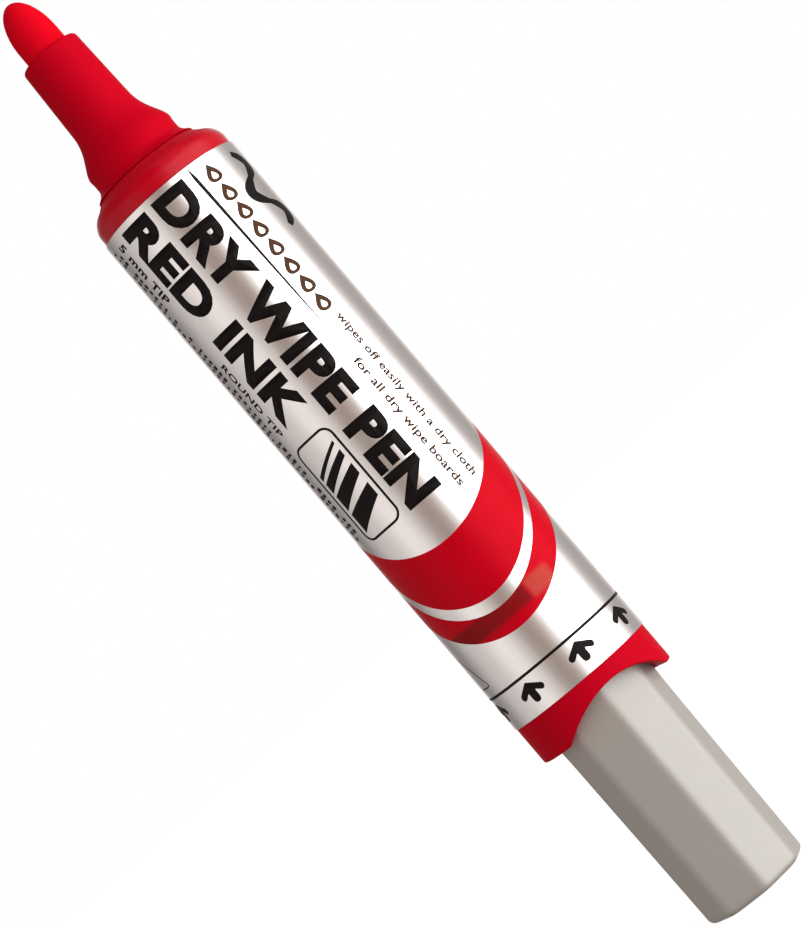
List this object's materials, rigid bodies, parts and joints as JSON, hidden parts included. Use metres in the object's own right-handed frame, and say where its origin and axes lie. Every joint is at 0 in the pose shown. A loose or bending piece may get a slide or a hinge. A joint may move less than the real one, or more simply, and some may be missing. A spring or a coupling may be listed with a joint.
{
  "type": "whiteboard marker",
  "caption": "Pump-action bullet-tip whiteboard marker without its cap: felt nib in a flared nozzle, foil-labelled round barrel, scalloped rear collar and octagonal pump button.",
  "frame": {"origin": "centre of the flat end face of the pump button, the face the marker stands on", "axes": "+Z along the marker's axis from the pump button to the writing tip; -Y is the printed side, +X is to its right"},
  "size_m": [0.018, 0.018, 0.1254],
  "materials": {
    "felt": "matte ink-soaked felt",
    "red_plastic": "satin moulded red plastic",
    "grey_plastic": "satin moulded light grey plastic",
    "foil": "silver film label, printed in red, black and bronze",
    "natural_plastic": "unpigmented moulded plastic",
    "fibre": "ink-soaked fibre",
    "rubber": "matte black rubber",
    "steel": "drawn stainless wire"
  },
  "bodies": {
    "marker": {"barrel": "natural_plastic", "label": "foil", "front_collar": "red_plastic", "nozzle": "red_plastic", "nib": "felt", "nozzle_seal": "rubber", "nib_buffer": "fibre", "valve_housing": "natural_plastic", "housing_seal": "rubber", "valve_spring": "steel", "valve_cage": "natural_plastic", "rear_collar": "red_plastic", "tank_plug": "natural_plastic", "plug_seal": "rubber", "outlet_flap": "rubber", "pump_cylinder": "natural_plastic", "pump_spring": "steel"},
    "pump": {"pump_button": "grey_plastic", "retaining_ring": "natural_plastic", "pump_rod": "natural_plastic", "piston": "natural_plastic", "piston_seal": "rubber"},
    "valve": {"valve_stem": "natural_plastic", "valve_washer": "rubber"}
  },
  "joints": [
    {"name": "pump_slide", "type": "slide", "parent": "marker", "child": "pump", "axis": [0, 0, 1], "range_m": [0, 0.0045], "stiffness_N_per_m": 400, "springref_m": -0.006, "deforming": ["pump_spring"]},
    {"name": "valve_slide", "type": "slide", "parent": "marker", "child": "valve", "axis": [0, 0, 1], "range_m": [0, 0.001], "stiffness_N_per_m": 60, "springref_m": -0.002, "deforming": ["valve_spring"]}
  ],
  "couplings": [
    {"joint": "valve_slide", "follows": "pump_slide", "ratio": 0.2}
  ]
}
